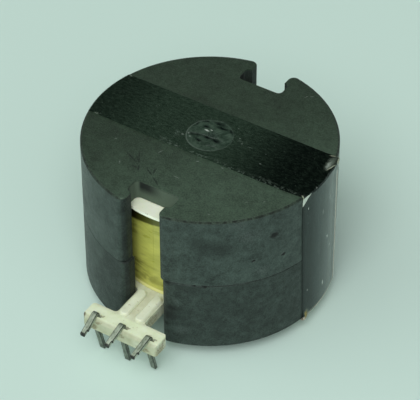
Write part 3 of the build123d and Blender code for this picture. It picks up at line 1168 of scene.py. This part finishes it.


# %% [markdown]
# Last come the lifted corners, a painted highlight in the bubble, the bubble's outline, the bright
# flecks with their painted glints and the yellowed fold at the film's foot. Alpha lets a little of the
# ferrite show through, and more where the film has lifted.
# %% Film material
def clear_film():
    material, shader = new_material("Clear_film", 0.12)
    place = place_in_mm(shader)
    _, y, z = coordinates(place)
    uneven = wobbled(place, 2.0, 0.5)
    on_top = mask(z, 19.3, 19.42)
    over_hole = mask(axis_distance(place), 2.8, 2.7)
    fine = noise(stretched(place, (0.7, 1.6, 1.0)), 2.2, 5, 0.75)
    haze = noise(place, 0.9, 4, 0.7, 1.2)
    dust = mask(noise(place, 4.5, 2, 0.5), 0.7, 0.76)
    streaks = noise(stretched(place, (3.0, 3.0, 0.14)), 2.0, 5, 0.7)
    slant = plus(y, times(minus(z, 19.2), edge_slope))

    top = film_top(place, fine, haze, over_hole)
    top = dusty_top(place, uneven, top, fine, dust)
    side = film_side(place, slant, streaks, dust)
    side, rim_shadow_line = film_edges(place, uneven, slant, side, minus(1.0, on_top))
    colour = mixed(on_top, side, top)

    lifted = spots(uneven, lifted_spots, 0.9)
    colour = painted(colour, lifted, (0.2, 0.25, 0.2), 0.8)
    # painted highlight inside the lifted corner's bubble
    bubble_highlight = strokes(uneven, film_level, [(14.15, 3.4, 14.35, 2.1, 0.35)], 1.0)
    colour = painted(colour, bubble_highlight, (0.5, 0.56, 0.5), 0.8)
    outline = strokes(wobbled(place, 2.0, 0.2), 19.5, bubble)
    colour = painted(colour, outline, (0.46, 0.5, 0.37), 0.8)
    # painted glints and pale flecks
    colour = painted(colour, spots(place, glints_and_flecks, 0.7), (0.5, 0.55, 0.5), 0.8)
    amber = spot(uneven, (14.95, -2.5, 0.35), (0.7, 0.42, 0.85), soft=0.6)
    colour = mixed(amber, colour, (0.34, 0.26, 0.07))

    rough = most(scaled(haze, 0.4, 0.7, 0.08, 0.2), times(rim_shadow_line, 0.7))
    alpha = most(scaled(on_top, 0, 1, 0.93, 0.88), both(on_top, over_hole))
    alpha = minus(alpha, times(lifted, 0.3))
    feed(shader, Base_Color=colour, Roughness=rough, Alpha=alpha, Coat_Weight=0.15)
    feed(shader, Specular_IOR_Level=0.22, Specular_Tint=(0.74, 1.0, 0.93, 1))
    set_bump(shader, plus(streaks, haze), 0.03, 0.35)
    return material


dress(clear_film(), "clear_film", "clear_film_overlap")

# %% [markdown]
# ## Stage, light and camera
# The part stands on a pale floor: one large plane at the tips of the terminals' feet, which reach
# lowest. It is quite matt, so it takes a soft shadow and shows no reflection.
# %% Floor
bpy.ops.object.select_all(action="DESELECT")
bpy.ops.mesh.primitive_plane_add(size=4, location=(0, 0, cad_low.z))
floor = bpy.context.object
floor.name = "floor"
floor_material, shader = new_material("Pale_floor", 0.8)
feed(shader, Base_Color=(0.66, 0.83, 0.765, 1), Specular_IOR_Level=0.1)
floor.data.materials.append(floor_material)
print("the floor is at", round(cad_low.z / mm, 2), "mm")

# %% [markdown]
# One large round lamp stands high in front, like a softbox. Its size makes the shadows soft, and the
# sky gives most of the light.
# %% Lamp
lamp_data = bpy.data.lights.new("front_lamp", "AREA")
lamp_data.shape = "DISK"
lamp_data.size = 0.6
lamp_data.energy = 4.0
lamp = bpy.data.objects.new("front_lamp", lamp_data)
lamp.location = (0.22, -0.52, 0.7)
to_core = Vector((0, 0, core_middle)) - lamp.location
lamp.rotation_euler = to_core.to_track_quat("-Z", "Y").to_euler()
bpy.context.scene.collection.objects.link(lamp)
print("the lamp gives", lamp_data.energy, "W from", round(to_core.length, 2), "m away")

# %% [markdown]
# The sky is pale in front and low all round, and dark high behind. So the glossy film on top mirrors
# something dark and stays nearly black, while the sides, which face the low sky, are lit.
# %% World
world = bpy.data.worlds.new("Studio")
world.use_nodes = True
bpy.context.scene.world = world
sky = world.node_tree
right, back, up = coordinates(sky.nodes.new("ShaderNodeTexCoord").outputs["Generated"])
pale = mixed(mask(right, 0.7, -0.7), (0.68, 0.735, 0.705), (0.9, 0.98, 0.94))
lit = most(mask(up, 0.5, 0.05), mask(back, 0.3, -0.3))
feed(sky.nodes["Background"], Color=mixed(lit, (0.05, 0.055, 0.052), pale))
print("the sky is", len(sky.nodes), "nodes")

# %% [markdown]
# The camera looks down at the front slot and the right side. Its place is worked out from its angle
# round the core, its angle above the floor and its distance. A long lens keeps the sides nearly upright.
# %% Camera
azimuth = math.radians(32.28)
elevation = math.radians(41.66)
distance = 0.2572
aim_height = 9.54 * mm
across = Vector((math.sin(azimuth), -math.cos(azimuth), 0))
away = across * math.cos(elevation) + Vector((0, 0, math.sin(elevation)))
camera_data = bpy.data.cameras.new("camera")
camera_data.lens = 186.15
camera_data.sensor_width = 36
camera = bpy.data.objects.new("camera", camera_data)
camera.location = Vector((0, 0, aim_height)) + away * distance
camera.rotation_euler = (-away).to_track_quat("-Z", "Y").to_euler()
bpy.context.scene.collection.objects.link(camera)
bpy.context.scene.camera = camera
bpy.context.scene.view_settings.view_transform = "Standard"
print("the camera is", round(distance / mm), "mm from the core's axis")
